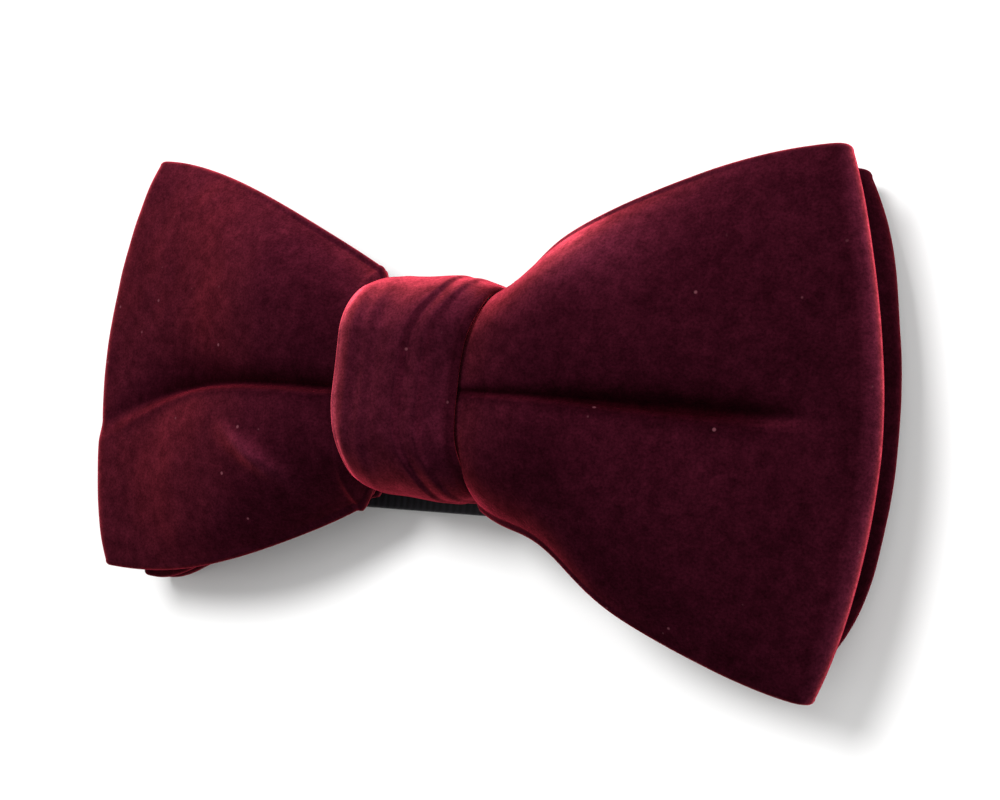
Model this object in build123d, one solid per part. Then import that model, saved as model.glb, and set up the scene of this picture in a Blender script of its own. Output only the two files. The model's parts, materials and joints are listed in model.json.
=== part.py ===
from build123d import *
import math
import os

# Pre-tied velvet bow tie with an adjustable neck strap, lying on its back with the strap folded under it.
#
# Millimetres. X runs along the bow, Y is up when worn, +Z is the front of the bow.
# The origin is under the middle of the bow, on the surface that it lies on.
#
# The bow is two flattened velvet loops, one on the other, each with a stiff interlining inside its
# cloth. Thread binds their waist, and a padded velvet knot wraps it together with the strap. The strap
# ends in an eye on the left. On the right it folds three times under the bow: it is cut into
# spans that turn on their fold lines. The last span runs through an adjuster slide and round the hook.

# Bow, in plan.
HALF_WIDTH = 60.0
END_SPARE = 0.6
CORNER_X = 54.5
CORNER_Y = 31.6
SHOULDER = (27.0, 24.6)
WAIST_X = 10.0
WAIST_Y = 12.9

# Cloth.
VELVET = 0.8
INTERLINING = 0.4
CLOTH_GAP = 0.05
WALL = 2 * VELVET + INTERLINING + 2 * CLOTH_GAP
THREAD_R = 0.15

# Heights of the two loops at the waist, the shoulder and the end: (underside, top).
BACK_LOOP = {"waist": (7.95, 13.0), "shoulder": (7.2, 12.4), "end": (5.2, 9.5)}
FRONT_LOOP = {"waist": (13.3, 19.2), "shoulder": (13.1, 18.9), "end": (11.3, 15.6)}
EAR_START_X = 14.0

# Knot.
KNOT_HALF_X = 10.0
KNOT_HALF_Y = 15.0
KNOT_BACK_Z = 5.2
KNOT_FRONT_Z = 21.9
KNOT_FRONT_R = 9.0
KNOT_BACK_R = 3.0
KNOT_WALL = 1.3
KNOT_RIM_R = 0.6
PADDING = 0.6
BINDING_R = 0.25
BINDING_PITCH = 0.7
BINDING_LIFT = 0.2

# Strap: its section, and where its spans turn, in plan.
STRAP_W = 20.0
STRAP_T = 0.7
STRAP_EYE_X = -46.0
FOLD_1 = (48.0, 0.0)
FOLD_2 = (-38.0, -2.5)
FOLD_3 = (44.0, -4.1)
HOOK_BAR = (-24.0, -7.0)

# Heights of the strap's centre plane.
Z_ANCHOR_KNOT = 6.95
Z_ANCHOR = 5.6
Z_SPAN_2 = 4.7
Z_SPAN_3 = 3.8
Z_SPAN_4 = 1.15
Z_RETURN = 2.75
RISE = (11.5, 17.0)

# Gap between a fold and the span that turns on it, and how far a run is drawn past a fold before
# it is cut.
FOLD_CLEAR = 1.2
FOLD_3_CLEAR = 1.8
FOLD_LAP = 1.0

# Metal fittings.
PIN_R = 0.4
PIN_GAP = 0.05
PLATE_T = 0.7
FRAME_HALF_Y = STRAP_W / 2 + 1.8
FRAME_IN_Y = STRAP_W / 2 + 0.4
EYE_PIN_R = 0.5
EYE_TILT = 22.0
EYE_LENGTH = 11.0
SLIDE_AT = 27.0
SLIDE_LENGTH = 13.0
SLIDE_BAR = 1.6
SLIDE_FRAME_T = 0.6
SLEEVE_PIN_R = 0.35
SLEEVE_T = 0.5
SLEEVE_Z = 2.4
HOOK_REACH = 14.0
HOOK_TONGUE_W = 9.0
HOOK_Z = 2.3
HOOK_LIP_Z = 0.35

TALL = 60.0


def save(name, shape):
    """Writes one node's solids as one file."""
    os.makedirs("parts", exist_ok=True)
    export_step(Compound(children=list(shape.solids())), f"parts/{name}.step")


def both_ways(face, half):
    """The face extruded to both sides of its plane."""
    return extrude(face, amount=half, both=True)


# ---------------------------------------------------------------- bow loops


def bow_outline(inset=0.0, waist_y=WAIST_Y):
    """The butterfly shape in plan."""
    shoulder = (SHOULDER[0], SHOULDER[1] - inset)
    corner = (CORNER_X - inset, CORNER_Y - inset)
    waist = (WAIST_X, waist_y - inset)
    tip = (HALF_WIDTH + END_SPARE - inset, 0)
    upper = ThreePointArc(waist, shoulder, corner)
    end = ThreePointArc(corner, tip, (corner[0], -corner[1]))
    lower = ThreePointArc((corner[0], -corner[1]), (shoulder[0], -shoulder[1]), (waist[0], -waist[1]))
    right_side = Curve() + [upper, end, lower]
    left_side = mirror(right_side, Plane.YZ)
    across = [
        Line(waist, (-waist[0], waist[1])),
        Line((waist[0], -waist[1]), (-waist[0], -waist[1])),
    ]
    return make_face((right_side + left_side + across).edges())


def loop_profile(loop, inset=0.0):
    """One loop's closed outline, seen along Y, moved inwards by inset."""

    def heights(place):
        low, high = loop[place]
        return low + inset, high - inset

    waist_low, waist_high = heights("waist")
    shoulder_low, shoulder_high = heights("shoulder")
    end_low, end_high = heights("end")
    radius = (end_high - end_low) / 2
    tip_x = HALF_WIDTH - inset
    end_x = tip_x - radius
    middle = (end_low + end_high) / 2
    top = ThreePointArc((WAIST_X, waist_high), (35, shoulder_high), (end_x, end_high))
    tip = ThreePointArc((end_x, end_high), (tip_x, middle), (end_x, end_low))
    bottom = ThreePointArc((end_x, end_low), (35, shoulder_low), (WAIST_X, waist_low))
    right_side = Curve() + [top, tip, bottom]
    left_side = mirror(right_side, Plane.YZ)
    across = [
        Line((-WAIST_X, waist_high), (WAIST_X, waist_high)),
        Line((-WAIST_X, waist_low), (WAIST_X, waist_low)),
    ]
    return Plane.XZ * make_face((right_side + left_side + across).edges())


def knot_section(inset, half_y=KNOT_HALF_Y, back=KNOT_BACK_Z, front=KNOT_FRONT_Z, front_r=KNOT_FRONT_R):
    """The knot's rounded outline, seen along X, moved inwards by inset."""
    width = 2 * (half_y - inset)
    height = front - back - 2 * inset
    outline = Pos(0, (front + back) / 2) * Rectangle(width, height)
    by_height = outline.vertices().sort_by(Axis.Y)
    outline = fillet(by_height[2:], front_r - inset)
    return fillet(outline.vertices().sort_by(Axis.Y)[:2], max(KNOT_BACK_R - inset, 0.3))


def waist_press():
    """What the knot and its binding press out of the loops at the waist."""
    inset = KNOT_WALL + PADDING + 2 * CLOTH_GAP + 2 * BINDING_R + 0.05
    kept = both_ways(Plane.YZ * knot_section(inset, back=KNOT_BACK_Z + BINDING_LIFT), TALL)
    return Box(2 * KNOT_HALF_X + 0.6, 2 * TALL, 2 * TALL) - kept


def interlining_ring(loop, grow=0.0):
    """The stiff layer inside the loop's cloth; grown, it is the room that the layer lies in."""
    outer = loop_profile(loop, VELVET + CLOTH_GAP - grow)
    inner = loop_profile(loop, VELVET + CLOTH_GAP + INTERLINING + grow)
    ring = both_ways(outer, TALL) - both_ways(inner, TALL)
    plan = both_ways(bow_outline(1.2 - grow, waist_y=8.0), TALL)
    return ring & plan


def velvet_loop(loop):
    """The loop's cloth, with an open ear in each wing and a closed room for its interlining."""
    solid = both_ways(loop_profile(loop), TALL) & both_ways(bow_outline(), TALL)
    solid = solid - waist_press()
    ears = both_ways(loop_profile(loop, WALL), TALL)
    middle = Box(2 * EAR_START_X, 2 * TALL, 2 * TALL)
    return solid - (ears - middle) - interlining_ring(loop, grow=CLOTH_GAP)


def waist_binding():
    """Three turns of thread that hold the gathers under the knot."""
    inset = KNOT_WALL + PADDING + 2 * CLOTH_GAP + BINDING_R
    back = KNOT_BACK_Z + BINDING_LIFT
    outer = knot_section(inset - BINDING_R, back=back)
    inner = knot_section(inset + BINDING_R, back=back)
    turn = both_ways(Plane.YZ * (outer - inner), BINDING_R)
    return Compound(children=[Pos(i * BINDING_PITCH, 0, 0) * turn for i in (-1, 0, 1)])


# ---------------------------------------------------------------- knot


def knot_wrap():
    """The velvet band round the waist, with soft rims."""
    outer = both_ways(Plane.YZ * knot_section(0.0), KNOT_HALF_X)
    rims = outer.faces().sort_by(Axis.X)[0].edges() + outer.faces().sort_by(Axis.X)[-1].edges()
    outer = fillet(rims, KNOT_RIM_R)
    return outer - both_ways(Plane.YZ * knot_section(KNOT_WALL), TALL)


def knot_interlining():
    """The padded layer inside the knot's front and sides."""
    outer = knot_section(KNOT_WALL + CLOTH_GAP)
    inner = knot_section(KNOT_WALL + CLOTH_GAP + PADDING)
    ring = both_ways(Plane.YZ * (outer - inner), KNOT_HALF_X - 1.0)
    above_strap = Pos(0, 0, KNOT_BACK_Z + 4.0 + TALL / 2) * Box(TALL, TALL, TALL)
    return ring & above_strap


def knot_closing_stitches():
    """A row of short stitches across the seam at the back of the knot."""
    z = KNOT_BACK_Z + 0.05
    stitch = Pos(0, 0, z) * Rot(90, 0, 0) * Cylinder(THREAD_R, 2.0)
    return Compound(children=[Pos(x, 0, 0) * stitch for x in range(-8, 9, 2)])


def strap_tack_stitches():
    """Four tacks that sew the strap to the back loop, inside the knot."""
    low = Z_ANCHOR_KNOT - STRAP_T / 2 - 0.05
    high = BACK_LOOP["waist"][0] + 0.6
    tack = Pos(0, 0, (low + high) / 2) * Cylinder(THREAD_R, high - low)
    places = [(x, y) for x in (-7, 7) for y in (-6, 6)]
    return Compound(children=[Pos(x, y, 0) * tack for x, y in places])


# ---------------------------------------------------------------- strap


def heading(start, end):
    """Degrees from +X to the way from start to end, in plan."""
    return math.degrees(math.atan2(end[1] - start[1], end[0] - start[0]))


def along(start, end):
    """A frame at start with its X towards end."""
    way = (end[0] - start[0], end[1] - start[1], 0)
    return Plane(origin=(start[0], start[1], 0), x_dir=way, z_dir=(0, 0, 1))


def distance(start, end):
    return math.hypot(end[0] - start[0], end[1] - start[1])


def flat_span(start, end, z, start_gap=0.0, end_gap=0.0):
    """A straight run of strap between two plan points."""
    length = distance(start, end) - start_gap - end_gap
    middle = start_gap + length / 2
    return along(start, end).location * Pos(middle, 0, z) * Box(length, STRAP_W, STRAP_T)


def half_ring(radius, thickness, width):
    """A half tube on the +X side of the Y axis."""
    ring = Circle(radius + thickness / 2) - Circle(radius - thickness / 2)
    half = ring & Pos(radius, 0) * Rectangle(2 * radius, 4 * radius)
    return both_ways(Plane.XZ * half, width / 2)


def fold_heading(at, before, after):
    """Degrees from +X to the way that a fold points, midway between the two runs that meet there."""
    first, second = heading(before, at), heading(after, at)
    turned = 180 if abs(first - second) > 180 else 0
    return (first + second) / 2 + turned


def fold(at, z_high, z_low, before, after):
    """The strap's turn at a fold line, between the runs that come from `before` and go to `after`."""
    z = (z_high + z_low) / 2
    turn = half_ring((z_high - z_low) / 2, STRAP_T, STRAP_W)
    return Pos(at[0], at[1], z) * Rot(0, 0, fold_heading(at, before, after)) * turn


def cut_at_fold(span, at, before, after):
    """A run that reaches past a fold line, cut off along that line."""
    beyond = Pos(TALL / 2, 0, 0) * Box(TALL, TALL, TALL)
    return span - Pos(at[0], at[1], 0) * Rot(0, 0, fold_heading(at, before, after)) * beyond


def anchor_span():
    """The run of strap that passes through the knot, from the eye to the first fold."""
    rise_in, rise_out = RISE
    line = [
        (STRAP_EYE_X, Z_ANCHOR),
        (-rise_out, Z_ANCHOR),
        (-rise_in, Z_ANCHOR_KNOT),
        (rise_in, Z_ANCHOR_KNOT),
        (rise_out, Z_ANCHOR),
        (FOLD_1[0] + FOLD_LAP, Z_ANCHOR),
    ]
    upper = [(x, z + STRAP_T / 2) for x, z in line]
    lower = [(x, z - STRAP_T / 2) for x, z in reversed(line)]
    edge = Polyline(*upper, *lower, close=True)
    span = both_ways(Plane.XZ * make_face(edge.edges()), STRAP_W / 2)
    return cut_at_fold(span, FOLD_1, (0, 0), FOLD_2)


def folded_span(start, end, after, z, start_gap):
    """A run that turns on the fold at its start and is cut along the fold at its end."""
    span = flat_span(start, end, z, start_gap, -FOLD_LAP)
    return cut_at_fold(span, end, start, after)


EYE_LOOP_R = EYE_PIN_R + PIN_GAP + STRAP_T / 2
EYE_Z = Z_ANCHOR - EYE_LOOP_R
EYE_TAB = 5.5


def eye_loop():
    """The strap's left end, turned round the eye's pin and back under itself."""
    turn = Pos(STRAP_EYE_X, 0, EYE_Z) * Rot(0, 0, 180) * half_ring(EYE_LOOP_R, STRAP_T, STRAP_W)
    tab_z = EYE_Z - EYE_LOOP_R
    tab = Pos(STRAP_EYE_X + EYE_TAB / 2, 0, tab_z) * Box(EYE_TAB, STRAP_W, STRAP_T)
    return turn + tab


def bartack(z_low, z_high, count):
    """A row of short threads through the strap, across its width."""
    thread = Pos(0, 0, (z_low + z_high) / 2) * Cylinder(THREAD_R, z_high - z_low)
    step = (STRAP_W - 3.0) / (count - 1)
    return Compound(children=[Pos(0, (i - (count - 1) / 2) * step, 0) * thread for i in range(count)])


HOOK_LOOP_R = (Z_RETURN - Z_SPAN_4) / 2
HOOK_PIN_Z = (Z_RETURN + Z_SPAN_4) / 2
SPAN_4 = along(FOLD_3, HOOK_BAR).location
SPAN_4_LENGTH = distance(FOLD_3, HOOK_BAR)


def return_run():
    """The last of the strap: round the hook's pin and back towards the adjuster slide."""
    turn = Pos(SPAN_4_LENGTH, 0, HOOK_PIN_Z) * half_ring(HOOK_LOOP_R, STRAP_T, STRAP_W)
    start = SLIDE_AT + SLEEVE_PIN_R + SLEEVE_T + 0.6
    length = SPAN_4_LENGTH - start
    run = Pos(start + length / 2, 0, Z_RETURN) * Box(length, STRAP_W, STRAP_T)
    return SPAN_4 * (turn + run)


# ---------------------------------------------------------------- fittings


def frame_outline(x_start, x_end):
    """A rounded rectangle across the strap, as wide as the fittings are."""
    length = x_end - x_start
    return Pos((x_start + x_end) / 2, 0) * RectangleRounded(length, 2 * FRAME_HALF_Y, 1.4)


def eye():
    """A flat plate with a pin for the strap and a slot for the hook."""
    plate = frame_outline(-EYE_LENGTH, EYE_PIN_R)
    strap_window = Pos(-1.6, 0) * Rectangle(3.2 + EYE_PIN_R, 2 * FRAME_IN_Y)
    hook_slot = Pos(-6.9, 0) * RectangleRounded(3.4, HOOK_TONGUE_W + 1.6, 0.8)
    body = both_ways(plate - strap_window - hook_slot, EYE_PIN_R)
    trim = Pos(EYE_LENGTH / 2, 0, 0) * Box(EYE_LENGTH, TALL, TALL)
    pin = Rot(90, 0, 0) * Cylinder(EYE_PIN_R, 2 * FRAME_HALF_Y)
    shape = (body - trim) + pin
    return Pos(STRAP_EYE_X, 0, EYE_Z) * Rot(0, -EYE_TILT, 0) * shape


def adjuster_slide():
    """A flat frame under the strap, with a bridge over it that carries the sleeve's pin."""
    half = SLIDE_LENGTH / 2
    frame = frame_outline(-half, half) - Rectangle(SLIDE_LENGTH - 2 * SLIDE_BAR, 2 * FRAME_IN_Y)
    base = extrude(frame, amount=SLIDE_FRAME_T)
    post_y = (FRAME_HALF_Y + FRAME_IN_Y) / 2
    post_z = (SLEEVE_Z + SLEEVE_PIN_R) / 2
    post = Pos(0, post_y, post_z) * Box(2.4, FRAME_HALF_Y - FRAME_IN_Y, 2 * post_z)
    pin = Pos(0, 0, SLEEVE_Z) * Rot(90, 0, 0) * Cylinder(SLEEVE_PIN_R, 2 * FRAME_HALF_Y - 0.6)
    return SPAN_4 * Pos(SLIDE_AT, 0, 0) * (base + post + mirror(post, Plane.XZ) + pin)


def adjuster_sleeve():
    """The strap's end, sewn round the slide's pin."""
    inner = SLEEVE_PIN_R + 0.02
    tube = Circle(inner + SLEEVE_T) - Circle(inner)
    return SPAN_4 * Pos(SLIDE_AT, 0, SLEEVE_Z) * both_ways(Plane.XZ * tube, STRAP_W / 2)


def hook():
    """A pin for the strap, a frame, and a flat tongue that turns back under itself."""
    pin = Pos(0, 0, HOOK_PIN_Z) * Rot(90, 0, 0) * Cylinder(PIN_R, 2 * FRAME_HALF_Y)
    arm_y = (FRAME_HALF_Y + FRAME_IN_Y) / 2
    arm_low = HOOK_PIN_Z - PIN_R
    arm_high = HOOK_Z + PLATE_T / 2
    arm_box = Box(4.6, FRAME_HALF_Y - FRAME_IN_Y, arm_high - arm_low)
    arm = Pos(1.9, arm_y, (arm_low + arm_high) / 2) * arm_box
    bar = Pos(3.5, 0, HOOK_Z) * Box(1.6, 2 * FRAME_HALF_Y, PLATE_T)
    bend_r = (HOOK_Z - HOOK_LIP_Z) / 2
    bend_x = HOOK_REACH - bend_r - PLATE_T / 2
    tongue = Pos((3.5 + bend_x) / 2, 0, HOOK_Z) * Box(bend_x - 3.5, HOOK_TONGUE_W, PLATE_T)
    bend = Pos(bend_x, 0, (HOOK_Z + HOOK_LIP_Z) / 2) * half_ring(bend_r, PLATE_T, HOOK_TONGUE_W)
    lip = Pos(bend_x - 2.6, 0, HOOK_LIP_Z) * Box(5.2, HOOK_TONGUE_W, PLATE_T)
    shape = pin + arm + mirror(arm, Plane.XZ) + bar + tongue + bend + lip
    return SPAN_4 * Pos(SPAN_4_LENGTH, 0, 0) * shape


# ---------------------------------------------------------------- nodes

save("front_bow_velvet", velvet_loop(FRONT_LOOP))
save("front_bow_interlining", interlining_ring(FRONT_LOOP))
save("back_bow_velvet", velvet_loop(BACK_LOOP))
save("back_bow_interlining", interlining_ring(BACK_LOOP))
save("waist_binding_thread", waist_binding())

save("knot_wrap", knot_wrap())
save("knot_interlining", knot_interlining())
save("knot_closing_stitches", knot_closing_stitches())
save("strap_tack_stitches", strap_tack_stitches())

save("strap_anchor_span", anchor_span())
save("strap_eye_loop", eye_loop())
eye_tack_x = STRAP_EYE_X + 3.5
eye_tack = bartack(EYE_Z - EYE_LOOP_R - STRAP_T / 2, Z_ANCHOR + STRAP_T / 2, 8)
save("eye_loop_bartack", Pos(eye_tack_x, 0, 0) * eye_tack)
save("strap_fold_1", fold(FOLD_1, Z_ANCHOR, Z_SPAN_2, (0, 0), FOLD_2))

save("strap_span_2", folded_span(FOLD_1, FOLD_2, FOLD_3, Z_SPAN_2, FOLD_CLEAR))
save("strap_fold_2", fold(FOLD_2, Z_SPAN_2, Z_SPAN_3, FOLD_1, FOLD_3))
save("strap_span_3", folded_span(FOLD_2, FOLD_3, HOOK_BAR, Z_SPAN_3, FOLD_CLEAR))
save("strap_fold_3", fold(FOLD_3, Z_SPAN_3, Z_SPAN_4, FOLD_2, HOOK_BAR))
save("strap_span_4", flat_span(FOLD_3, HOOK_BAR, Z_SPAN_4, FOLD_3_CLEAR))
save("strap_return_run", return_run())

save("adjuster_slide", adjuster_slide())
save("adjuster_sleeve", adjuster_sleeve())
sleeve_tack = bartack(SLEEVE_Z, SLEEVE_Z + SLEEVE_PIN_R + SLEEVE_T + 0.02, 8)
save("adjuster_bartack", SPAN_4 * Pos(SLIDE_AT - 0.6, 0, 0) * sleeve_tack)
save("hook", hook())
save("eye", eye())
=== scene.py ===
# The looks of a pre-tied velvet bow tie, lying on its back with its neck strap folded under it.
#
# Shapes are worked out in millimetres, in the frame's own axes, and turned into metres where a mesh is
# made. X runs along the bow, Y is up when worn, +Z is the front. Each bow is one loop of padded cloth: a
# front leaf, a turn at the right end, a back leaf, and a turn at the left end.

import json
import math
from collections import namedtuple

import bpy
import numpy as np
from mathutils import Matrix, Vector, noise


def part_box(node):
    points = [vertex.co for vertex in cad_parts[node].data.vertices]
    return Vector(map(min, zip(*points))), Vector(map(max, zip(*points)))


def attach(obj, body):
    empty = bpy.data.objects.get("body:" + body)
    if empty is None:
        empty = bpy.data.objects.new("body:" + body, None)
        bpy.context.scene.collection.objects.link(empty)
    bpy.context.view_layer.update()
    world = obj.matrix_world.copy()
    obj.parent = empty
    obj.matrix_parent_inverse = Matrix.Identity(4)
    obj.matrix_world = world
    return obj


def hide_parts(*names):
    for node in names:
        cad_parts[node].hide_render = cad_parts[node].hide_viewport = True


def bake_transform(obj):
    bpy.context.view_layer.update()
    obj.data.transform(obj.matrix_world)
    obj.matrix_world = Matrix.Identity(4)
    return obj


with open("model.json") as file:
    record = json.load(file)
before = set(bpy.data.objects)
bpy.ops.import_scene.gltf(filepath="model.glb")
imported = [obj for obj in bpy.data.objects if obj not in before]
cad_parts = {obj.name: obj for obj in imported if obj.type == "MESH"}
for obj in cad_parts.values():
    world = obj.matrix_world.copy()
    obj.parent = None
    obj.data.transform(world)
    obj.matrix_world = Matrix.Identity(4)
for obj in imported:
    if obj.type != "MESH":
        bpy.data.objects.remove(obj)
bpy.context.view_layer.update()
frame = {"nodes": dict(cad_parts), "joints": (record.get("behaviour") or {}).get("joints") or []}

MM = 0.001

# ---------------------------------------------------------------- measures, in millimetres

# Thickness of the padded cloth and its lining, and the bow's waist under the knot.
CLOTH_T = 1.6
LINING_T = 0.4
WAIST_X = 10.0
WAIST_HALF = 12.3

# Half the height of a wing, near enough to scale its lining by, and how far that stays inside its edges.
TYPICAL_HALF_HEIGHT = 30
LINING_INSET = 1.4

KNOT_T = 1.3
KNOT_LINING_INSET = 2.4
KNOT_LINING_GAP = 0.15

STRAP_W = 20.0
STRAP_T = 0.7

# How many points a velvet piece has round each of its rims.
RIM_POINTS = 7

# Unevenness of the cloth, as (size of the lumps, depth).
BOW_SWELLS = (14.0, 0.28)
BOW_DENTS = (4.0, 0.07)
KNOT_DENTS = (6.0, 0.16)


def node_box(name):
    """A CAD node's lowest and highest corners in millimetres."""
    low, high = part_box(name)
    return [c / MM for c in low], [c / MM for c in high]


def joint(name):
    """The frame's entry for a joint."""
    return next(j for j in frame["joints"] if j["name"] == name)


def place_of(name):
    """A joint's pivot in millimetres."""
    return np.array(joint(name)["pos_m"]) / MM


# ---------------------------------------------------------------- small helpers


def smooth(low, high, x):
    """0 below low and 1 above high, with a soft start and end."""
    t = np.clip((x - low) / (high - low), 0.0, 1.0)
    return t * t * (3 - 2 * t)


def bump(low, peak, high, x):
    """0 outside low to high and 1 at peak."""
    return smooth(low, peak, x) * (1 - smooth(peak, high, x))


def grid_mesh(name, points, closed=(True, True), caps=False, pile_and_painted_light=None):
    """An object from a grid of points, closed round either way, with its faces turned outwards.

    The last argument gives each point painted light and shade for the velvet: up to 1 for painted shade, as
    in a crease, 0 for none, and down to -1 for a painted highlight, as on a rim or fold.
    """
    rows, cols = points.shape[:2]
    i = np.arange(rows if closed[0] else rows - 1)
    j = np.arange(cols if closed[1] else cols - 1)
    i, j = np.meshgrid(i, j, indexing="ij")
    i2, j2 = (i + 1) % rows, (j + 1) % cols
    quads = np.stack([i * cols + j, i2 * cols + j, i2 * cols + j2, i * cols + j2], -1).reshape(-1, 4)
    flat = points.reshape(-1, 3)
    a, b, c, d = (flat[quads[:, k]] for k in range(4))
    volume = (a * np.cross(b, c)).sum() + (a * np.cross(c, d)).sum()
    faces = quads.tolist()
    if caps:
        faces.append(list(range(cols))[::-1])
        faces.append([(rows - 1) * cols + k for k in range(cols)])
    if volume < 0:
        faces = [f[::-1] for f in faces]
    mesh = bpy.data.meshes.new(name)
    mesh.from_pydata((flat * MM).tolist(), [], faces)
    mesh.polygons.foreach_set("use_smooth", [True] * len(mesh.polygons))
    if pile_and_painted_light is not None:
        layer = mesh.attributes.new("pile_and_painted_light", "FLOAT", "POINT")
        layer.data.foreach_set("value", pile_and_painted_light.ravel().astype(np.float32))
    mesh.update()
    obj = bpy.data.objects.new(name, mesh)
    bpy.context.scene.collection.objects.link(obj)
    return obj


def roughen(points, size, depth, seed):
    """Points moved along Z by soft noise whose lumps are about `size` millimetres."""
    offset = Vector((seed * 17.3, seed * 5.1, seed * 9.7))
    flat = points.reshape(-1, 3)
    lift = [noise.noise(Vector(p) / size + offset) for p in flat.tolist()]
    moved = flat.copy()
    moved[:, 2] += depth * np.array(lift)
    return moved.reshape(points.shape)


# ---------------------------------------------------------------- materials


class Nodes:
    """A short way to build one material's nodes."""

    def __init__(self, name):
        self.material = bpy.data.materials.new(name)
        self.material.use_nodes = True
        self.tree = self.material.node_tree
        self.shader = self.tree.nodes["Principled BSDF"]
        self.place = self.add("ShaderNodeTexCoord").outputs["Object"]

    def add(self, kind, **values):
        node = self.tree.nodes.new(kind)
        for key, value in values.items():
            setattr(node, key, value)
        return node

    def link(self, source, target):
        self.tree.links.new(source, target)

    def noise(self, size_mm, detail=3.0, roughness=0.55, stretch=(1, 1, 1)):
        """Noise with lumps of about size_mm."""
        mapping = self.add("ShaderNodeMapping")
        mapping.inputs["Scale"].default_value = stretch
        self.link(self.place, mapping.inputs["Vector"])
        texture = self.add("ShaderNodeTexNoise")
        texture.inputs["Scale"].default_value = 1 / (size_mm * MM)
        texture.inputs["Detail"].default_value = detail
        texture.inputs["Roughness"].default_value = roughness
        self.link(mapping.outputs["Vector"], texture.inputs["Vector"])
        return texture.outputs["Fac"]

    def ramp(self, source, *stops):
        """A colour for each value of source, from stops of (value, colour)."""
        node = self.add("ShaderNodeValToRGB")
        elements = node.color_ramp.elements
        while len(elements) < len(stops):
            elements.new(0.5)
        for element, (position, colour) in zip(elements, stops):
            element.position = position
            element.color = (*colour, 1.0)
        self.link(source, node.inputs["Fac"])
        return node.outputs["Color"]

    def mix(self, factor, first, second, blend="MIX"):
        """Two colours mixed; a colour mix has them at inputs 6 and 7 and its result at output 2."""
        node = self.add("ShaderNodeMix", data_type="RGBA", blend_type=blend)
        for value, index in ((factor, 0), (first, 6), (second, 7)):
            if isinstance(value, bpy.types.NodeSocket):
                self.link(value, node.inputs[index])
            else:
                node.inputs[index].default_value = value
        return node.outputs[2]

    def product(self, first, second):
        node = self.add("ShaderNodeMath", operation="MULTIPLY")
        self.link(first, node.inputs[0])
        self.link(second, node.inputs[1])
        return node.outputs["Value"]

    def from_signed(self, source):
        """A value between -1 and 1 taken to between 0 and 1."""
        node = self.add("ShaderNodeMapRange")
        node.inputs["From Min"].default_value = -1.0
        self.link(source, node.inputs["Value"])
        return node.outputs["Result"]

    def bump(self, height, depth_mm, strength=1.0, under=None):
        """A normal for relief of depth_mm, laid over the normal `under`."""
        node = self.add("ShaderNodeBump")
        node.inputs["Distance"].default_value = depth_mm * MM
        node.inputs["Strength"].default_value = strength
        self.link(height, node.inputs["Height"])
        if under is not None:
            self.link(under, node.inputs["Normal"])
        return node.outputs["Normal"]

    def set(self, **values):
        """Sets the shader's inputs; an underscore in a name stands for a space."""
        for key, value in values.items():
            self.shader.inputs[key.replace("_", " ")].default_value = value


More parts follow.
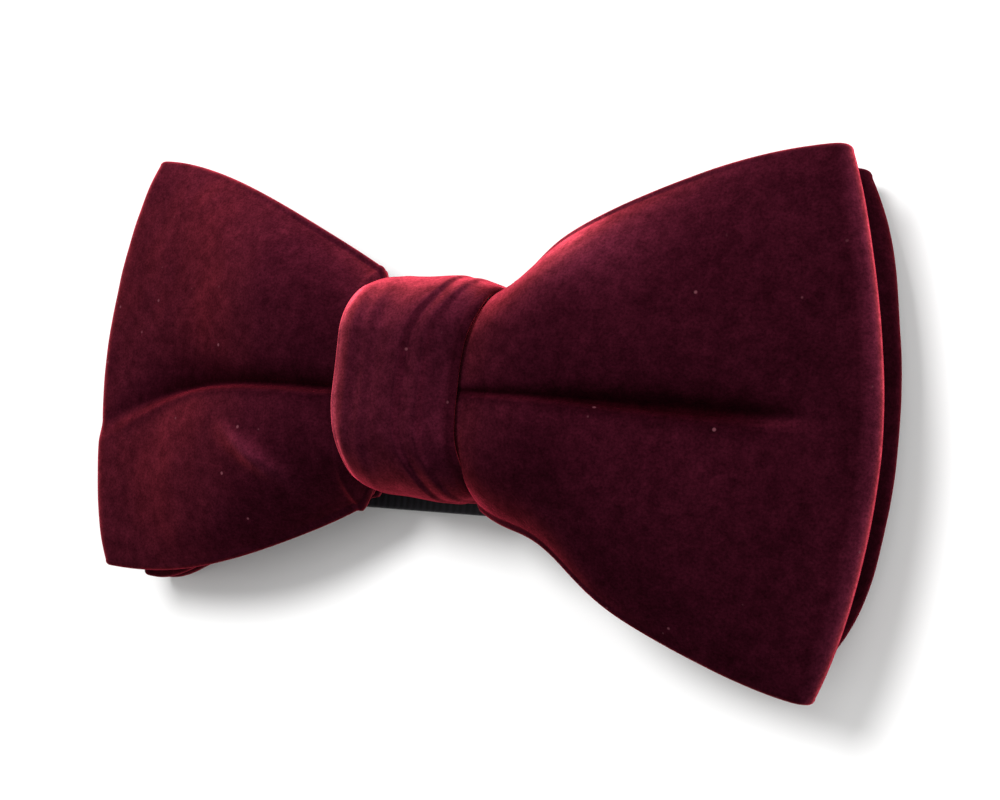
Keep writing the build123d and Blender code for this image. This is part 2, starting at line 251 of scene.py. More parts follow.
def velvet_material():
    """Burgundy velvet: dark where it is looked into, bright red where it is looked across, with painted
    light and shade from the mesh and from the way each face points.
    """
    n = Nodes("burgundy_velvet")
    # The mesh's painted light and shade: above 0 painted shade, below 0 painted highlight.
    painted_light_attribute = n.add("ShaderNodeAttribute", attribute_name="pile_and_painted_light").outputs["Fac"]

    # Where painted shade is laid in a crease, the colour hardly changes with the way it is looked at or
    # with the painted side light.
    pressed = n.add("ShaderNodeMapRange")
    pressed.inputs["To Min"].default_value = 1.0
    pressed.inputs["To Max"].default_value = 0.2
    n.link(painted_light_attribute, pressed.inputs["Value"])
    free_of_painted_shade = pressed.outputs["Result"]

    facing = n.add("ShaderNodeLayerWeight")
    facing.inputs["Blend"].default_value = 0.5
    pile_and_painted_light = n.ramp(
        n.product(facing.outputs["Facing"], free_of_painted_shade),
        (0.12, (0.0172, 0.0018, 0.0046)),
        (0.27, (0.0285, 0.0031, 0.0072)),
        (0.38, (0.0420, 0.0046, 0.0092)),
        (0.55, (0.0830, 0.0082, 0.0132)),
        (0.85, (0.29, 0.026, 0.041)),
    )

    # Painted light: faces that point to +Y, and a little to +X, towards the lamps, are made lighter, and
    # those pointing the other way darker.
    faces_lamps = n.add("ShaderNodeVectorMath", operation="DOT_PRODUCT")
    faces_lamps.inputs[1].default_value = (0.3, 0.95, 0.0)
    n.link(n.add("ShaderNodeNewGeometry").outputs["Normal"], faces_lamps.inputs[0])
    painted_side_light = n.ramp(
        n.from_signed(n.product(faces_lamps.outputs["Value"], free_of_painted_shade)),
        (0.05, (0.42, 0.38, 0.40)),
        (0.30, (0.56, 0.54, 0.58)),
        (0.50, (1, 1, 1)),
        (0.60, (1.45, 1.4, 1.4)),
        (0.85, (1.8, 1.7, 1.7)),
    )
    # Painted highlights where the mesh's value is below 0, and painted shade where it is above 0.
    painted_light_and_shade = n.ramp(
        n.from_signed(painted_light_attribute),
        (0.02, (4.2, 5.2, 4.8)),
        (0.50, (1, 1, 1)),
        (0.72, (0.52, 0.45, 0.48)),
        (0.96, (0.36, 0.20, 0.25)),
    )

    mottle = n.noise(1.7, detail=3.0, roughness=0.65)
    grain = n.noise(0.32, detail=2.0, roughness=0.7)
    drift = n.ramp(n.noise(9.0, detail=2.0), (0.3, (0.88, 0.86, 0.88)), (0.72, (1.14, 1.14, 1.14)))
    spots = n.ramp(mottle, (0.34, (0.72, 0.72, 0.72)), (0.70, (1.28, 1.28, 1.28)))
    fine = n.ramp(grain, (0.25, (0.60, 0.60, 0.60)), (0.75, (1.45, 1.45, 1.45)))
    colour = pile_and_painted_light
    for layer in (painted_side_light, painted_light_and_shade, drift, spots, fine):
        colour = n.mix(1.0, colour, layer, "MULTIPLY")

    # A few specks of lint.
    cells = n.add("ShaderNodeTexVoronoi")
    cells.inputs["Scale"].default_value = 1 / (4.0 * MM)
    cells.inputs["Randomness"].default_value = 1.0
    n.link(n.place, cells.inputs["Vector"])
    lint = n.ramp(cells.outputs["Distance"], (0.040, (1, 1, 1)), (0.070, (0, 0, 0)))
    rare = n.ramp(n.noise(5.0, detail=0.0), (0.44, (0, 0, 0)), (0.56, (0.6, 0.6, 0.6)))
    colour = n.mix(n.mix(1.0, lint, rare, "MULTIPLY"), colour, (0.17, 0.055, 0.072, 1))

    n.link(colour, n.shader.inputs["Base Color"])
    fibres = n.bump(grain, 0.10, 0.9)
    n.link(n.bump(mottle, 0.16, 0.7, under=fibres), n.shader.inputs["Normal"])
    n.set(Roughness=1.0, Sheen_Weight=0.45, Sheen_Roughness=0.25, Specular_IOR_Level=0.0)
    n.shader.inputs["Sheen Tint"].default_value = (0.90, 0.055, 0.115, 1)
    return n.material


def lining_material():
    """Stiff non-woven cloth, pale, with pressed fibres."""
    n = Nodes("pale_interlining")
    fibres = n.noise(0.5, detail=4.0, stretch=(1.0, 0.35, 1.0))
    colour = n.ramp(fibres, (0.3, (0.55, 0.53, 0.49)), (0.7, (0.80, 0.78, 0.74)))
    n.link(colour, n.shader.inputs["Base Color"])
    n.link(n.bump(fibres, 0.05), n.shader.inputs["Normal"])
    n.set(Roughness=0.9)
    return n.material


def ribbon_material():
    """Black grosgrain: fine ribs across the strap, with a dull shine."""
    rib_pitch = 0.55 * MM
    n = Nodes("black_grosgrain")
    ribs = n.add("ShaderNodeTexWave", wave_type="BANDS", bands_direction="X")
    ribs.inputs["Scale"].default_value = math.pi / (20 * rib_pitch)
    ribs.inputs["Distortion"].default_value = 0.6
    ribs.inputs["Detail"].default_value = 1.0
    n.link(n.place, ribs.inputs["Vector"])
    threads = n.noise(0.25, detail=2.0, stretch=(1.0, 0.2, 1.0))
    tone = n.ramp(ribs.outputs["Fac"], (0.1, (0.004, 0.004, 0.006)), (0.9, (0.011, 0.010, 0.014)))
    worn = n.ramp(threads, (0.3, (0.7, 0.7, 0.7)), (0.7, (1.3, 1.3, 1.3)))
    n.link(n.mix(1.0, tone, worn, "MULTIPLY"), n.shader.inputs["Base Color"])
    n.link(n.bump(ribs.outputs["Fac"], 0.07, 0.8), n.shader.inputs["Normal"])
    n.set(Roughness=0.6, Specular_IOR_Level=0.25, Sheen_Weight=0.06, Sheen_Roughness=0.4)
    return n.material


def thread_material(name, dark, light):
    """Twisted polyester thread."""
    n = Nodes(name)
    twist = n.noise(0.18, detail=1.0, stretch=(1.0, 2.5, 1.0))
    n.link(n.ramp(twist, (0.3, dark), (0.7, light)), n.shader.inputs["Base Color"])
    n.link(n.bump(twist, 0.03), n.shader.inputs["Normal"])
    n.set(Roughness=0.5, Sheen_Weight=0.2)
    return n.material


def metal_material():
    """Nickel plate with fine polishing marks and slight tarnish."""
    n = Nodes("nickel_plate")
    tarnish = n.noise(4.0, detail=3.0)
    marks = n.noise(0.35, detail=2.0, stretch=(0.15, 1.0, 1.0))
    colour = n.ramp(tarnish, (0.3, (0.48, 0.46, 0.42)), (0.7, (0.68, 0.67, 0.64)))
    dull = n.ramp(marks, (0.3, (0.20, 0.20, 0.20)), (0.7, (0.36, 0.36, 0.36)))
    n.link(colour, n.shader.inputs["Base Color"])
    n.link(dull, n.shader.inputs["Roughness"])
    n.link(n.bump(marks, 0.01, 0.5), n.shader.inputs["Normal"])
    n.set(Metallic=1.0)
    return n.material


VELVET = velvet_material()
LINING = lining_material()
RIBBON = ribbon_material()
THREAD_RED = thread_material("red_thread", (0.05, 0.004, 0.008), (0.12, 0.010, 0.018))
THREAD_BLACK = thread_material("black_thread", (0.004, 0.004, 0.005), (0.02, 0.02, 0.022))
METAL = metal_material()


def paint(obj, material):
    """Gives an object one material in place of any that it has."""
    obj.data.materials.clear()
    obj.data.materials.append(material)


def add_piece(obj, material, slot, body, *nodes):
    """Gives a finished mesh its material and body, and hides the CAD nodes that it stands for; its slot is
    not used.
    """
    paint(obj, material)
    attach(obj, body)
    if nodes:
        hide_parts(*nodes)


# ---------------------------------------------------------------- bow loops

# One corner of a wing: how far its tip is from the bow's middle in X and in Y, how much less high the
# wing is at the knot, the power of the curve between the two, how far the long edge rolls down at the
# knot, the share of the hidden leaf's tuck, where the gathers open out in X, and how far the long edge is
# drawn in by a pinch beside the knot.
Corner = namedtuple("Corner", "tip_x tip_y drop curve roll tuck opens pinch")

# One leaf: the height of its middle line at the waist and at the end, and its tuck along the long edges.
Leaf = namedtuple("Leaf", "waist end tuck")

# Corners go by (side, up or down), with side 1 at the right and up 1 at the top. "bulge" is how far down an
# end's arc has its middle, and the power of that arc. The last entry holds the painted highlight (below 0)
# or painted shade (above 0) on the end turns, and how much painted shade lies on the back half of the right
# turn.
FRONT_LOOP = {
    "end_x": {1: 60.3, -1: 58.7},
    "corners": {
        (1, 1): Corner(54.3, 31.3, 15.9, 1.8, 7.6, 0.6, 8.4, 0.9),
        (1, -1): Corner(56.0, 31.5, 16.6, 1.5, 5.4, 0.6, 8.4, 2.3),
        (-1, 1): Corner(53.9, 31.9, 15.4, 1.65, 4.6, 0.2, 7.6, 0.0),
        (-1, -1): Corner(54.3, 29.9, 12.9, 2.3, 5.8, 1.0, 7.0, 0.0),
    },
    "bulge": {1: (0.10, 1.8), -1: (0.0, 2.0)},
    "front_leaf": Leaf(18.4, 14.75, 0.0),
    "back_leaf": Leaf(14.1, 12.15, 1.8),
    "pile_and_painted_light": (-0.35, 0.9),
}
BACK_LOOP = {
    "end_x": {1: 61.0, -1: 59.4},
    "corners": {
        (1, 1): Corner(53.7, 30.6, 16.2, 1.8, 1.4, 0.6, 8.4, 1.0),
        (1, -1): Corner(52.0, 30.6, 16.0, 1.5, 1.4, 0.6, 8.4, 2.3),
        (-1, 1): Corner(54.0, 30.4, 15.0, 1.8, 1.4, 0.2, 8.2, 0.0),
        (-1, -1): Corner(53.9, 31.4, 13.1, 2.0, 1.4, 1.0, 7.0, 0.0),
    },
    "bulge": {1: (0.08, 2.4), -1: (0.0, 2.0)},
    "front_leaf": Leaf(12.2, 8.7, 2.6),
    "back_leaf": Leaf(8.75, 6.0, 3.2),
    "pile_and_painted_light": (0.4, 0.3),
}

# The right wing's two pinches, at its upper edge (1) and its lower edge (-1): where in X, and how wide.
PINCHES = {1: (13.0, 3.2), -1: (21.0, 6.6)}

# Depths of the creases in the right and the left wing.
FRONT_CREASES = (1.7, 1.9)
BACK_CREASES = (1.6, 1.6)

# The soft fold in the lower left wing: its two ends, height and width.
FOLD_FROM = (-28.2, -8.6)
FOLD_TO = (-16.3, -14.7)
FOLD_HEIGHT = 0.9
FOLD_WIDTH = 1.5

# A painted highlight on the upper right wing: its middle and its size.
HIGHLIGHT_PATCH_AT = (22, 19)
HIGHLIGHT_PATCH_SIZE = (9, 5)

# How far the back bow's corners hang, and how far the strap presses its underside up.
CORNER_DROOP = 2.9
OVER_STRAP = 0.9


def section_samples(outer, inner, edge, thickness):
    """The cloth's cross-section as (share of the half width, extra width, offset from the middle).

    It has `outer` points on its outside, `inner` on its inside and `edge` round each rim.
    """
    r = thickness / 2
    out = []
    for v in np.linspace(-1, 1, outer):
        out.append((v, 0.0, r))
    for a in np.linspace(90, -90, edge + 2)[1:-1]:
        out.append((1.0, r * math.cos(math.radians(a)), r * math.sin(math.radians(a))))
    for v in np.linspace(1, -1, inner):
        out.append((v, 0.0, -r))
    for a in np.linspace(-90, 90, edge + 2)[1:-1]:
        out.append((-1.0, -r * math.cos(math.radians(a)), r * math.sin(math.radians(a))))
    return np.array(out).T


def to_right(x):
    """0 on the left wing and 1 on the right one, with a soft change at the knot."""
    return smooth(-3, 3, x)


def to_top(v):
    """0 in the lower half of a leaf and 1 in the upper half, with a soft change between."""
    return smooth(-0.3, 0.3, v)


class Loop:
    """One bow: its outline in plan and the heights of its two leaves."""

    def __init__(self, spec, inset=0.0):
        self.spec = spec
        self.inset = inset
        end_gap = spec["front_leaf"].end - spec["back_leaf"].end
        self.reach = min(spec["end_x"].values()) - end_gap / 2 - CLOTH_T / 2

    def by_corner(self, x, v, field):
        """A value that goes smoothly between the four corners' values."""
        right = to_right(x)
        up = to_top(v)
        corner = {key: getattr(values, field) for key, values in self.spec["corners"].items()}
        top = corner[(1, 1)] * right + corner[(-1, 1)] * (1 - right)
        low = corner[(1, -1)] * right + corner[(-1, -1)] * (1 - right)
        return top * up + low * (1 - up)

    def along(self, x):
        """0 at the knot and 1 at the end turn."""
        return np.clip((np.abs(x) - WAIST_X) / (self.reach - WAIST_X), 0, 1)

    def half_height(self, x, v, leaf):
        """Half the height of a leaf; the hidden leaves are tucked in along the wing's long edges."""
        u = self.along(x)
        rise = (1 - u) ** self.by_corner(x, v, "curve")
        wing = self.by_corner(x, v, "tip_y") - self.by_corner(x, v, "drop") * rise
        up = to_top(v)
        pinch = 0
        for edge, share in ((1, up), (-1, 1 - up)):
            middle, width = PINCHES[edge]
            pinch = pinch + share * np.exp(-(((x - middle) / width) ** 2))
        wing = wing - self.by_corner(x, v, "pinch") * pinch
        tuck = self.by_corner(x, v, "tuck") * self.spec[leaf].tuck
        wing = wing - tuck * (1 - smooth(0.5, 0.97, u))
        opens = self.by_corner(x, v, "opens")
        return WAIST_HALF + (wing - WAIST_HALF) * smooth(opens, opens + 2.2, np.abs(x))

    def plan_x(self, x, v):
        """x moved in towards the corners, so that the end is an arc."""
        end = self.spec["end_x"]
        right = to_right(x)
        end_x = end[1] * right + end[-1] * (1 - right)
        setback = end_x - self.by_corner(x, v, "tip_x")
        share = np.clip(np.abs(x) / self.reach, 0, 1)
        longer = (end_x - min(end.values())) * share**3
        bulge = self.spec["bulge"]
        shift, power = (right * a + (1 - right) * b for a, b in zip(bulge[1], bulge[-1]))
        arc = np.abs(v + shift * (1 - v**2)) ** power
        return x + np.sign(x) * (longer - share**3 * setback * arc)

    def level(self, x, leaf):
        """The middle line of a leaf: level beside the knot, then down to the end."""
        waist, end, _ = self.spec[leaf]
        return waist + (end - waist) * smooth(0.25, 1.0, self.along(x))


def valley(off, above, below):
    """1 at the bottom of a crease: a soft slope above it and a steeper, rounded wall below it."""
    slope = np.exp(-np.maximum(off, 0) / above)
    wall = 1 - smooth(0.0, 1.0, -off / below)
    return np.where(off > 0, slope, wall)


def crease_lines(x, y):
    """How far a point is above its wing's crease, and the widths of the slopes above and below it."""
    u = np.abs(x)
    off = np.where(x > 0, y + 0.3, y + 1.0 + 6.4 * np.clip((u - 18) / 36, 0, 1.2) ** 2.6)
    above = np.where(x > 0, 0.6 + 0.9 * smooth(15, 46, u), 1.2 + 3.4 * smooth(22, 50, u))
    below = np.where(x > 0, 1.0 + 0.8 * smooth(15, 46, u), 1.4 + 2.2 * smooth(34, 56, u))
    return off, above, below


def creased(x, y, right_depth, left_depth):
    """The valley down the middle of each wing, pinched in at the knot."""
    u = np.abs(x)
    deep_right = right_depth * smooth(7, 14, u) * (0.4 + 0.6 * smooth(14, 34, u)) * (1 - smooth(42, 54, u))
    deep_left = left_depth * smooth(7, 14, u) * (1 - 0.75 * smooth(34, 57, u))
    return -np.where(x > 0, deep_right, deep_left) * valley(*crease_lines(x, y))


def painted_crease_shade(x, y):
    """Painted shade in the crease, on both of its slopes."""
    u = np.abs(x)
    off, above, below = crease_lines(x, y)
    upper = np.exp(-np.maximum(off, 0) / above)
    lower = np.exp(-((np.minimum(off, 0) / (1.1 * below)) ** 2))
    right_fade = 0.62 + 0.38 * smooth(14, 30, u) - smooth(40, 52, u)
    left_fade = 0.75 - 0.6 * smooth(34, 57, u)
    return np.clip(np.where(x > 0, right_fade, left_fade), 0, 1) * np.where(off > 0, upper, lower)


def lobes(u, v, height):
    """The soft swelling of the cloth above and below the crease."""
    return height * np.sin(np.pi * np.clip(u, 0, 1)) ** 0.7 * 4 * np.abs(v) * (1 - np.abs(v))


def ridge(x, y, start, end, height, width):
    """A soft straight fold from start to end."""
    ax, ay = start
    bx, by = end
    length2 = (bx - ax) ** 2 + (by - ay) ** 2
    t = ((x - ax) * (bx - ax) + (y - ay) * (by - ay)) / length2
    off2 = (x - ax - t * (bx - ax)) ** 2 + (y - ay - t * (by - ay)) ** 2
    return height * bump(-0.25, 0.5, 1.25, t) * np.exp(-off2 / width**2)


def front_loop_heights(loop, x, v):
    """Middle surfaces of the front bow's two leaves, and the painted shade and highlights on the front one.
    """
    u = loop.along(x)
    y = v * loop.half_height(x, v, "front_leaf")
    roll = loop.by_corner(x, v, "roll") * (1 - u) ** 1.45
    crease = creased(x, y, *FRONT_CREASES)
    swell = 0.9 * bump(0.0, 0.22, 0.75, u) + 1.3 * smooth(6.0, 14.0, x) * (1 - smooth(0.1, 0.5, u))
    power = 2.6 + 2.0 * (1 - u) ** 4
    front = loop.level(x, "front_leaf") + swell - roll * np.abs(v) ** power - 0.9 * np.abs(v) ** 8
    front = front + crease + lobes(u, v, 0.9)
    fold = ridge(x, y, FOLD_FROM, FOLD_TO, FOLD_HEIGHT, FOLD_WIDTH)
    front = front + fold
    back = loop.level(x, "back_leaf") - 0.4 * roll * np.abs(v) ** 2.6 + 0.3 * crease
    # Painted highlight on a patch of the upper right wing and along the fold's ridge, taken from the
    # painted shade in the crease.
    across, up = (x - HIGHLIGHT_PATCH_AT[0]) / HIGHLIGHT_PATCH_SIZE[0], (y - HIGHLIGHT_PATCH_AT[1]) / HIGHLIGHT_PATCH_SIZE[1]
    painted_patch_highlight = 0.28 * np.exp(-(across**2) - up**2)
    return front, back, painted_crease_shade(x, y) - 0.35 * fold - painted_patch_highlight


def back_loop_heights(loop, x, v):
    """Middle surfaces of the back bow's two leaves, whose corners hang, with no painted light or shade on
    them.
    """
    u = loop.along(x)
    y = v * loop.half_height(x, v, "back_leaf")
    pinch = (1 - u) ** 2.2
    droop = CORNER_DROOP * smooth(0.35, 1.0, np.abs(v)) * smooth(0.4, 1.0, u)
    front = loop.level(x, "front_leaf") - 1.4 * pinch * np.abs(v) ** 2.2 - droop
    over_strap = OVER_STRAP * (1 - smooth(0.34, 0.85, np.abs(v))) * smooth(36.0, 46.0, np.abs(x))
    back = loop.level(x, "back_leaf") - droop - 0.25 * creased(x, y, *BACK_CREASES) + over_strap
    return front, back, 0 * front


def loop_points(loop, heights, samples, steps):
    """The whole loop of cloth as a grid: round the loop, then round its cross-section.

    `steps` are how many rows the front leaf, the back leaf and each turn have.
    """
    v, extra, off = (row[None, :] for row in samples)
    v = v * (1 - loop.inset / TYPICAL_HALF_HEIGHT)
    front_steps, back_steps, turn_steps = steps
    rows, pile_and_painted_light = [], []

    def leaf(x, which):
        x = x[:, None] + 0 * v
        front, back, painted_light_and_shade = heights(loop, x, v)
        y = v * (loop.half_height(x, v, which) - CLOTH_T / 2 - loop.inset) + extra
        z = front + off if which == "front_leaf" else back - off
        rows.append(np.stack([loop.plan_x(x, v), y, z], -1))
        pile_and_painted_light.append(painted_light_and_shade if which == "front_leaf" else 0 * painted_light_and_shade)

    def turn(side, angles):
        x = np.full((len(angles), 1), side * loop.reach) + 0 * v
        front, back, painted_light_and_shade = heights(loop, x, v)
        a = np.radians(angles)[:, None]
        front_half, back_half = (loop.half_height(x, v, which) for which in ("front_leaf", "back_leaf"))
        half = front_half * (1 - a / math.pi) + back_half * a / math.pi
        y = v * (half - CLOTH_T / 2 - loop.inset) + extra
        r = (front - back) / 2
        px = loop.plan_x(x, v) + side * (r + off) * np.sin(a)
        pz = (front + back) / 2 + (r + off) * np.cos(a)
        rows.append(np.stack([px, y, pz], -1))
        # On the end turns: a painted highlight or painted shade round the turn, and painted shade on the
        # back half of the right turn.
        painted_turn_light, behind = loop.spec["pile_and_painted_light"]
        painted_shade_behind = behind * (side > 0) * smooth(85, 118, np.degrees(a))
        pile_and_painted_light.append(painted_turn_light * np.sin(a) + painted_shade_behind + 0 * painted_light_and_shade)

    leaf(np.linspace(-loop.reach, loop.reach, front_steps), "front_leaf")
    turn(1, np.linspace(0, 180, turn_steps + 2)[1:-1])
    leaf(np.linspace(loop.reach, -loop.reach, back_steps), "back_leaf")
    turn(-1, np.linspace(180, 0, turn_steps + 2)[1:-1])
    return np.concatenate(rows), np.concatenate(pile_and_painted_light)


def build_bow(name, spec, heights, steps, across, seed):
    """One bow's velvet, and the stiff interlining inside its cloth.

    `across` is how many points the cloth's cross-section has on its outside and on its inside.
    """
    loop = Loop(spec)
    points, pile_and_painted_light = loop_points(loop, heights, section_samples(*across, RIM_POINTS, CLOTH_T), steps)
    points = roughen(roughen(points, *BOW_SWELLS, seed), *BOW_DENTS, seed + 3)
    velvet = grid_mesh(name, points, pile_and_painted_light=pile_and_painted_light)
    add_piece(velvet, VELVET, "velvet", "bow", f"{name}_velvet")

    inner = Loop(spec, inset=LINING_INSET)
    points, _ = loop_points(inner, heights, section_samples(120, 60, 1, LINING_T), (160, 90, 5))
    lining = grid_mesh(f"{name}_lining", roughen(points, *BOW_SWELLS, seed))
    add_piece(lining, LINING, "interlining", "bow", f"{name}_interlining")


build_bow("front_bow", FRONT_LOOP, front_loop_heights, steps=(330, 90, 9), across=(170, 30), seed=1)
build_bow("back_bow", BACK_LOOP, back_loop_heights, steps=(130, 150, 9), across=(100, 80), seed=2)

# ---------------------------------------------------------------- knot

knot_low, knot_high = node_box("knot_wrap")
KNOT_HALF_X = knot_high[0]
KNOT_HALF_Y = knot_high[1]
KNOT_BACK = knot_low[2]
KNOT_FRONT = knot_high[2]
KNOT_FRONT_R = 9.0
KNOT_BACK_R = 3.0
PATH_STEP = 0.05


def knot_path(steps):
    """Points and outward ways round the knot's outline in Y and Z, from the middle of its back."""
    pieces = []
    flat_back = KNOT_HALF_Y - KNOT_BACK_R
    side = KNOT_FRONT - KNOT_BACK - KNOT_FRONT_R - KNOT_BACK_R
    flat_front = KNOT_HALF_Y - KNOT_FRONT_R

    def line(start, way, length, out):
        for s in np.arange(0, length, PATH_STEP):
            pieces.append((start[0] + way[0] * s, start[1] + way[1] * s, out[0], out[1]))

    def arc(centre, r, first, last):
        count = int(abs(last - first) / 360 * 2 * math.pi * r / PATH_STEP)
        for a in np.radians(np.linspace(first, last, count, endpoint=False)):
            y_way, z_way = math.cos(a), math.sin(a)
            pieces.append((centre[0] + r * y_way, centre[1] + r * z_way, y_way, z_way))

    line((0, KNOT_BACK), (1, 0), flat_back, (0, -1))
    arc((flat_back, KNOT_BACK + KNOT_BACK_R), KNOT_BACK_R, -90, 0)
    line((KNOT_HALF_Y, KNOT_BACK + KNOT_BACK_R), (0, 1), side, (1, 0))
    arc((flat_front, KNOT_FRONT - KNOT_FRONT_R), KNOT_FRONT_R, 0, 90)
    line((flat_front, KNOT_FRONT), (-1, 0), 2 * flat_front, (0, 1))
    arc((-flat_front, KNOT_FRONT - KNOT_FRONT_R), KNOT_FRONT_R, 90, 180)
    line((-KNOT_HALF_Y, KNOT_FRONT - KNOT_FRONT_R), (0, -1), side, (-1, 0))
    arc((-flat_back, KNOT_BACK + KNOT_BACK_R), KNOT_BACK_R, 180, 270)
    line((-flat_back, KNOT_BACK), (1, 0), flat_back, (0, -1))
    pieces = np.array(pieces)
    pick = np.linspace(0, len(pieces), steps, endpoint=False).astype(int)
    return pieces[pick]


def pleats(x, front):
    """How far the knot's cloth stands out at x; `front` is 1 in the middle of the front, 0 at the sides."""
    spread = 3.4 * (1 - front)
    first, second = 1.3 + spread, 4.6 + 0.8 * spread
    rise = 0.60 * smooth(first - 6.0, first, x) * (1 - smooth(first, first + 0.7, x))
    rise = rise + 0.50 * smooth(first + 0.6, second, x) * (1 - smooth(second, second + 0.6, x))
    rise = rise + 0.10 * np.exp(-(((x + 6.8) / 0.9) ** 2)) + 0.12 * np.exp(-(((x + 3.9) / 0.9) ** 2))
    return (rise - 0.5 * smooth(first, first + 5, x)) * (0.45 + 0.55 * front)


def build_knot():
    """The velvet band round the waist, with folded rims and pleats that run into its right rim."""
    path = knot_path(220)
    py, pz, ny, nz = (path[:, k : k + 1] for k in range(4))
    py = py * (1 - 0.05 * smooth(2, 15, -py))
    front = np.exp(-((py / 10.5) ** 4)) * smooth(12, 19, pz)
    left = -KNOT_HALF_X + 0.2 + 1.8 * smooth(2, 12, -py)
    right = KNOT_HALF_X - 0.7 * front + 0.7 * bump(2, 11, 16, np.abs(py)) * smooth(8, 17, pz)

    def band(name, samples, thickness, depth, inset, pleated):
        """A closed band that follows the outline, `depth` inside it and `inset` in from its rims."""
        share, extra, off = (row[None, :] for row in samples)
        low, high = left + inset + thickness / 2, right - inset - thickness / 2
        x = (low + high) / 2 + share * (high - low) / 2 + extra
        lift = -0.9 * np.abs(share) ** 5
        if pleated:
            shoulder = 1 - 0.5 * smooth(0.93, 1.0, np.abs(share))
            clear_of_strap = smooth(KNOT_BACK + 0.5, KNOT_BACK + 4, pz)
            lift = lift + np.where(off > 0, 1.0, 0.0) * pleats(x, front) * shoulder * clear_of_strap
        out = off + lift - depth - thickness / 2
        points = np.stack([x + 0 * py, py + ny * out, pz + nz * out], -1)
        # Painted highlight along the left rim, stronger lower down, the whole knot a little lighter, and
        # painted shade on the right rim.
        left_rim_highlight = np.exp(-(((share + 1) / 0.09) ** 2)) * smooth(5, 9, pz)
        right_rim_shade = np.exp(-(((share - 1) / 0.06) ** 2))
        pile_and_painted_light = -0.95 * left_rim_highlight * (0.7 + 0.3 * smooth(2, -8, py)) - 0.12 + 0.20 * right_rim_shade
        return grid_mesh(name, roughen(points, *KNOT_DENTS, seed=7), pile_and_painted_light=pile_and_painted_light)

    wrap = band("knot", section_samples(90, 24, RIM_POINTS, KNOT_T), KNOT_T, 0.0, 0.0, True)
    add_piece(wrap, VELVET, "velvet", "bow", "knot_wrap")
    samples = section_samples(30, 12, 3, LINING_T)
    depth = KNOT_T + KNOT_LINING_GAP
    lining = band("knot_lining", samples, LINING_T, depth, KNOT_LINING_INSET, False)
    add_piece(lining, LINING, "interlining", "bow", "knot_interlining")


build_knot()

# ---------------------------------------------------------------- strap

FOLD_1 = place_of("strap_fold_1")
FOLD_2 = place_of("strap_fold_2")
FOLD_3 = place_of("strap_fold_3")
HOOK_PIN = place_of("hook_pivot")
EYE_PIN = place_of("eye_pivot")


def middle_z(name):
    """The height of a node's middle."""
    low, high = node_box(name)
    return (low[2] + high[2]) / 2


Z_ANCHOR = node_box("strap_fold_1")[1][2] - STRAP_T / 2
Z_SPAN_2 = middle_z("strap_span_2")
Z_SPAN_3 = middle_z("strap_span_3")
Z_SPAN_4 = middle_z("strap_span_4")
Z_RETURN = node_box("strap_return_run")[1][2] - STRAP_T / 2
Z_IN_KNOT = node_box("strap_anchor_span")[1][2] - STRAP_T / 2
EYE_LOOP_R = Z_ANCHOR - EYE_PIN[2]
HOOK_LOOP_R = Z_RETURN - HOOK_PIN[2]

# The first run is lifted between these distances from the knot's middle. The others ripple a little.
LIFTED_X = (10.8, 18.0)
RIPPLE = 0.04

# Length of the tab that is sewn down behind the eye.
EYE_TAB = 5.5

# The return run stops short of the sleeve's middle and dips to meet it.
SLEEVE_GAP = 0.75
SLEEVE_DIP = 0.25


def strap_section():
    """The strap's cross-section as (across, offset), with rounded edges."""
    r = STRAP_T / 2
    half = STRAP_W / 2 - r
    out = [(v * half, r) for v in np.linspace(-1, 1, 24)]
    out += [(half + r * math.cos(a), r * math.sin(a)) for a in np.radians([60, 30, 0, -30, -60])]
    out += [(v * half, -r) for v in np.linspace(1, -1, 24)]
    out += [(-half - r * math.cos(a), r * math.sin(a)) for a in np.radians([-60, -30, 0, 30, 60])]
    return np.array(out)


def ribbon(name, stations):
    """A strap along stations of (centre, way across, outward way)."""
    section = strap_section()
    rows = []
    for centre, across, out in stations:
        rows.append(np.array(centre) + section[:, :1] * np.array(across) + section[:, 1:] * np.array(out))
    return grid_mesh(name, np.array(rows), closed=(False, True), caps=True)


def flat_run(start, end, z_of, steps):
    """Stations along a flat run; z_of gives the height at each x and share of the way."""
    start, end = np.array(start[:2]), np.array(end[:2])
    way = (end - start) / np.linalg.norm(end - start)
    out = []
    for s in np.linspace(0, 1, steps):
        x, y = start + (end - start) * s
        out.append(((x, y, z_of(x, s)), (-way[1], way[0], 0), (0, 0, 1)))
    return out


def turn_run(pivot, axis, r, steps=14):
    """Stations of a half turn about an axis, from above the pivot round to below it."""
    axis = np.array(axis, float)
    up = np.array((0, 0, 1.0))
    out_way = np.cross(up, axis)
    out = []
    for a in np.radians(np.linspace(0, 180, steps)):
        ray = up * math.cos(a) + out_way * math.sin(a)
        out.append((pivot + r * ray, -axis, ray))
    return out


def hinge_axis(name):
    """The way that a hinge's axis points."""
    return np.array(joint(name)["axis"], float)


def add_bending_piece(obj, node):
    """Gives a stretch of strap its looks, sets its place into its points, and hides the CAD node that it
    stands for.
    """
    paint(obj, RIBBON)
    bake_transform(obj)
    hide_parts(node)


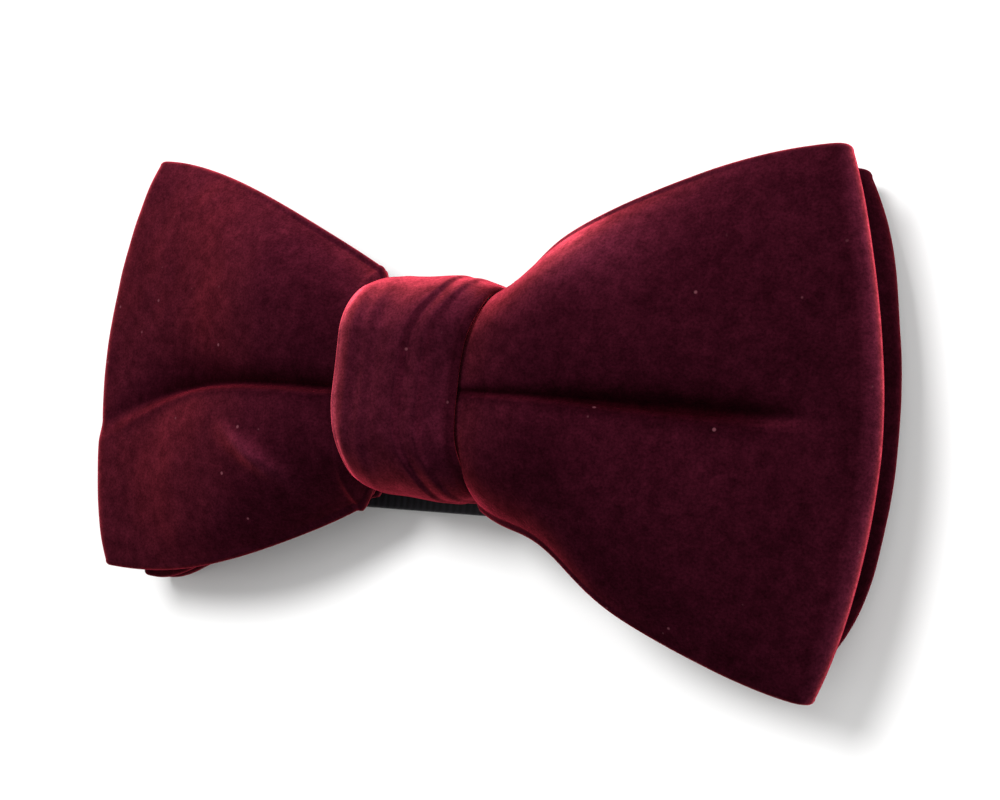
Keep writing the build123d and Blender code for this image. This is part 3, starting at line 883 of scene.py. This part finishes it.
def build_strap():
    """The folded strap: flat runs that ride on their bodies, and the turns between them."""

    def lifted(x, _):
        return Z_ANCHOR + (Z_IN_KNOT - Z_ANCHOR) * (1 - smooth(*LIFTED_X, abs(x)))

    def rippled(z):
        return lambda x, s: z + RIPPLE * math.sin(math.pi * s) * math.sin(3 * math.pi * s)

    first = ribbon("strap_first_run", flat_run(EYE_PIN, FOLD_1, lifted, 96))
    add_piece(first, RIBBON, "strap", "bow", "strap_anchor_span")
    for body, start, end, z, node in (
        ("strap_second_run", FOLD_1, FOLD_2, Z_SPAN_2, "strap_span_2"),
        ("strap_third_run", FOLD_2, FOLD_3, Z_SPAN_3, "strap_span_3"),
        ("strap_last_run", FOLD_3, HOOK_PIN, Z_SPAN_4, "strap_span_4"),
    ):
        add_piece(ribbon(body, flat_run(start, end, rippled(z), 60)), RIBBON, "strap", body, node)

    for node, pivot, r, bodies in (
        ("strap_fold_1", FOLD_1, (Z_ANCHOR - Z_SPAN_2) / 2, ("bow", "strap_second_run")),
        ("strap_fold_2", FOLD_2, (Z_SPAN_2 - Z_SPAN_3) / 2, ("strap_second_run", "strap_third_run")),
        ("strap_fold_3", FOLD_3, (Z_SPAN_3 - Z_SPAN_4) / 2, ("strap_third_run", "strap_last_run")),
    ):
        turn = ribbon(f"{node}_cloth", turn_run(pivot, hinge_axis(node), r))
        add_bending_piece(turn, node)


def build_eye_end():
    """The strap's end, turned round the eye's pin and sewn down as a tab."""
    across = (0, 1, 0)
    turn = turn_run(EYE_PIN, -hinge_axis("eye_pivot"), EYE_LOOP_R)
    tab_end = EYE_PIN + (EYE_TAB, 0, -EYE_LOOP_R)
    tab = flat_run(EYE_PIN, tab_end, lambda x, s: tab_end[2], 8)
    stations = [(centre, across, out) for centre, _, out in turn]
    stations += [(centre, across, (0, 0, -1)) for centre, _, _ in tab[1:]]
    add_piece(ribbon("strap_eye_end", stations), RIBBON, "strap", "bow", "strap_eye_loop")


def build_hook_end():
    """The turn round the hook's pin, and the run that comes back to the adjuster."""
    turn = turn_run(HOOK_PIN, -hinge_axis("hook_pivot"), HOOK_LOOP_R)
    add_piece(ribbon("strap_hook_turn", turn), RIBBON, "strap", "strap_last_run")

    sleeve_low, sleeve_high = node_box("adjuster_sleeve")
    sleeve = np.array([(a + b) / 2 for a, b in zip(sleeve_low, sleeve_high)])
    way = (sleeve - HOOK_PIN) * (1, 1, 0)
    way = way / np.linalg.norm(way)

    def dipping(_, s):
        return Z_RETURN - SLEEVE_DIP * smooth(0.9, 1.0, s)

    run = ribbon("strap_return", flat_run(HOOK_PIN, sleeve - way * SLEEVE_GAP, dipping, 60))
    add_bending_piece(run, "strap_return_run")


build_strap()
build_eye_end()
build_hook_end()

# ---------------------------------------------------------------- CAD nodes that show as they are

for node, material in {
    "waist_binding_thread": THREAD_RED,
    "knot_closing_stitches": THREAD_RED,
    "strap_tack_stitches": THREAD_BLACK,
    "eye_loop_bartack": THREAD_BLACK,
    "adjuster_bartack": THREAD_BLACK,
    "adjuster_sleeve": RIBBON,
    "adjuster_slide": METAL,
    "hook": METAL,
    "eye": METAL,
}.items():
    paint(frame["nodes"][node], material)

# ---------------------------------------------------------------- floor, light and camera


def build_floor():
    """A plain white table, 3 m across."""
    half = 1.5
    corners = [(-half, -half, 0), (half, -half, 0), (half, half, 0), (-half, half, 0)]
    mesh = bpy.data.meshes.new("floor")
    mesh.from_pydata(corners, [], [(0, 1, 2, 3)])
    floor = bpy.data.objects.new("floor", mesh)
    bpy.context.scene.collection.objects.link(floor)
    n = Nodes("white_table")
    n.set(Roughness=0.6)
    n.shader.inputs["Base Color"].default_value = (0.86, 0.86, 0.86, 1)
    paint(floor, n.material)


def add_area_light(name, place, size, power):
    """A round soft light, in metres and watts, that shines at the bow."""
    light = bpy.data.lights.new(name, "AREA")
    light.shape = "DISK"
    light.size = size
    light.energy = power
    obj = bpy.data.objects.new(name, light)
    obj.location = place
    obj.rotation_euler = (-Vector(place)).to_track_quat("-Z", "Y").to_euler()
    bpy.context.scene.collection.objects.link(obj)


def build_light():
    """An even pale room, a key light above the upper left and a broad fill from the right."""
    world = bpy.data.worlds.new("studio")
    world.use_nodes = True
    background = world.node_tree.nodes["Background"]
    background.inputs["Color"].default_value = (1.0, 0.99, 0.98, 1)
    background.inputs["Strength"].default_value = 0.45
    bpy.context.scene.world = world
    add_area_light("key", place=(-0.07, 0.17, 0.48), size=0.20, power=2.1)
    add_area_light("fill", place=(0.30, 0.12, 0.46), size=0.50, power=1.4)


def build_camera():
    """The camera looks at the bow from beyond its right end, about 31 degrees off its front."""
    right = Vector((0.85604, 0.11387, -0.50421))
    up = Vector((-0.06500, 0.99141, 0.11354))
    back = right.cross(up)
    place = back * 0.18858 + right * 0.00309 + up * 0.00012
    data = bpy.data.cameras.new("camera")
    data.sensor_width = 36.0
    data.lens = 48.41
    data.clip_start = 0.01
    camera = bpy.data.objects.new("camera", data)
    turned = Matrix((right, up, back)).transposed().to_4x4()
    camera.matrix_world = Matrix.Translation(place) @ turned
    bpy.context.scene.collection.objects.link(camera)
    bpy.context.scene.camera = camera


build_floor()
build_light()
build_camera()
bpy.context.scene.view_settings.view_transform = "Standard"
